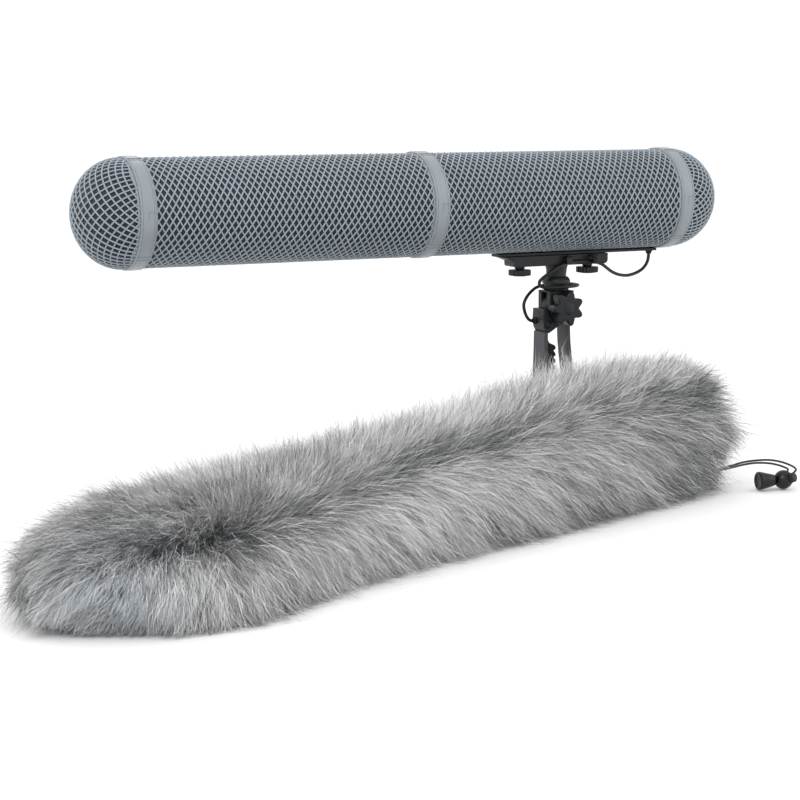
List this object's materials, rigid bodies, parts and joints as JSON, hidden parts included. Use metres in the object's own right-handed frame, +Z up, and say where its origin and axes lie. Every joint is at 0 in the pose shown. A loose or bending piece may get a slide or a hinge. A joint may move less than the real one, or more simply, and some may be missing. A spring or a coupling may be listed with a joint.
{
  "type": "microphone basket windscreen with fur cover",
  "caption": "Net basket windscreen on a tilting pistol grip, with its slip-off long-pile fur cover lying beside it, a drawcord, cord lock and bell end.",
  "frame": {"origin": "centre of the flat foot of the pistol grip", "axes": "+X along the basket towards its cable end, +Z up"},
  "size_m": [0.8393, 0.4519, 0.3322],
  "materials": {
    "net": "satin moulded net",
    "band": "satin",
    "lining": "fine woven gauze",
    "nylon": "satin black",
    "grip": "satin dark grey",
    "rubber": "matte",
    "steel": "brushed",
    "fur": "long-pile synthetic fur"
  },
  "bodies": {
    "grip": {"grip_base": "grip", "threaded_insert": "steel", "grip_front_strap": "grip", "grip_rear_strap": "grip", "finger_rest": "rubber", "yoke_block": "nylon", "yoke_tongue": "nylon", "yoke_screw": "steel", "pivot_bolt": "steel", "knob_washer": "steel", "cable_grommet": "rubber"},
    "star_knob": {"star_knob": "nylon"},
    "head": {"swivel_head": "nylon", "swivel_collar": "nylon", "stem": "nylon", "clamp_block": "nylon", "cable_post": "nylon", "post_bracket": "nylon", "cable_hook": "nylon", "tail_cable": "rubber"},
    "front_thumbscrew": {"front_thumbscrew": "nylon"},
    "rear_thumbscrew": {"rear_thumbscrew": "nylon"},
    "basket": {"keel_plate": "nylon", "suspension_bar": "nylon", "front_cradle": "rubber", "rear_cradle": "rubber", "front_mic_clip": "nylon", "rear_mic_clip": "nylon", "middle_lock_ring": "band", "rear_tube_net": "net", "rear_tube_lining": "lining", "cable_gland": "rubber"},
    "front_tube": {"front_tube_net": "net", "front_tube_lining": "lining"},
    "front_ring": {"front_lock_ring": "band"},
    "front_dome": {"front_dome_net": "net", "front_dome_lining": "lining"},
    "rear_ring": {"rear_lock_ring": "band"},
    "rear_dome": {"rear_dome_net": "net", "rear_dome_lining": "lining"},
    "cover": {"cover_nose": "fur", "cover_upper_panel": "fur", "cover_under_panel": "fur", "cover_hem": "nylon", "drawcord_upper": "rubber", "drawcord_lower": "rubber", "cord_bell_end": "nylon"},
    "cord_lock": {"cord_lock_body": "nylon"},
    "cord_lock_button": {"cord_lock_button": "nylon"}
  },
  "joints": [
    {"name": "grip_tilt", "type": "hinge", "parent": "grip", "child": "head", "pos_m": [0, 0, 0.172], "axis": [0, 1, 0], "range_deg": [-20, 40], "deforming": ["tail_cable"]},
    {"name": "knob_turn", "type": "hinge", "parent": "grip", "child": "star_knob", "pos_m": [0, -0.0193, 0.172], "axis": [0, 1, 0], "continuous": true},
    {"name": "front_screw_turn", "type": "hinge", "parent": "head", "child": "front_thumbscrew", "pos_m": [-0.045, -0.0025, 0.21], "axis": [0, 0, 1], "continuous": true},
    {"name": "rear_screw_turn", "type": "hinge", "parent": "head", "child": "rear_thumbscrew", "pos_m": [0.0355, -0.0025, 0.21], "axis": [0, 0, 1], "continuous": true},
    {"name": "basket_slide", "type": "slide", "parent": "head", "child": "basket", "axis": [1, 0, 0], "range_m": [-0.05, 0], "deforming": ["tail_cable"]},
    {"name": "front_tube_off", "type": "slide", "parent": "basket", "child": "front_tube", "axis": [-1, 0, 0], "range_m": [0, 0.3]},
    {"name": "front_ring_twist", "type": "hinge", "parent": "front_tube", "child": "front_ring", "pos_m": [-0.458, 0, 0.28], "axis": [1, 0, 0], "range_deg": [0, 20]},
    {"name": "front_dome_off", "type": "slide", "parent": "front_ring", "child": "front_dome", "axis": [-1, 0, 0], "range_m": [0, 0.12]},
    {"name": "rear_ring_twist", "type": "hinge", "parent": "basket", "child": "rear_ring", "pos_m": [0.125, 0, 0.28], "axis": [1, 0, 0], "range_deg": [-20, 0]},
    {"name": "rear_dome_off", "type": "slide", "parent": "rear_ring", "child": "rear_dome", "axis": [1, 0, 0], "range_m": [0, 0.12]},
    {"name": "cover_set_aside", "type": "slide", "parent": "grip", "child": "cover", "axis": [0, -1, 0], "range_m": [0, 0.2]},
    {"name": "cord_lock_slide", "type": "slide", "parent": "cover", "child": "cord_lock", "axis": [0.981, -0.194, 0], "range_m": [0, 0.012], "deforming": ["drawcord_upper", "drawcord_lower"]},
    {"name": "cord_lock_press", "type": "slide", "parent": "cord_lock", "child": "cord_lock_button", "axis": [-0.3856, 0.8732, -0.2981], "range_m": [0, 0.003], "stiffness_N_per_m": 300}
  ]
}
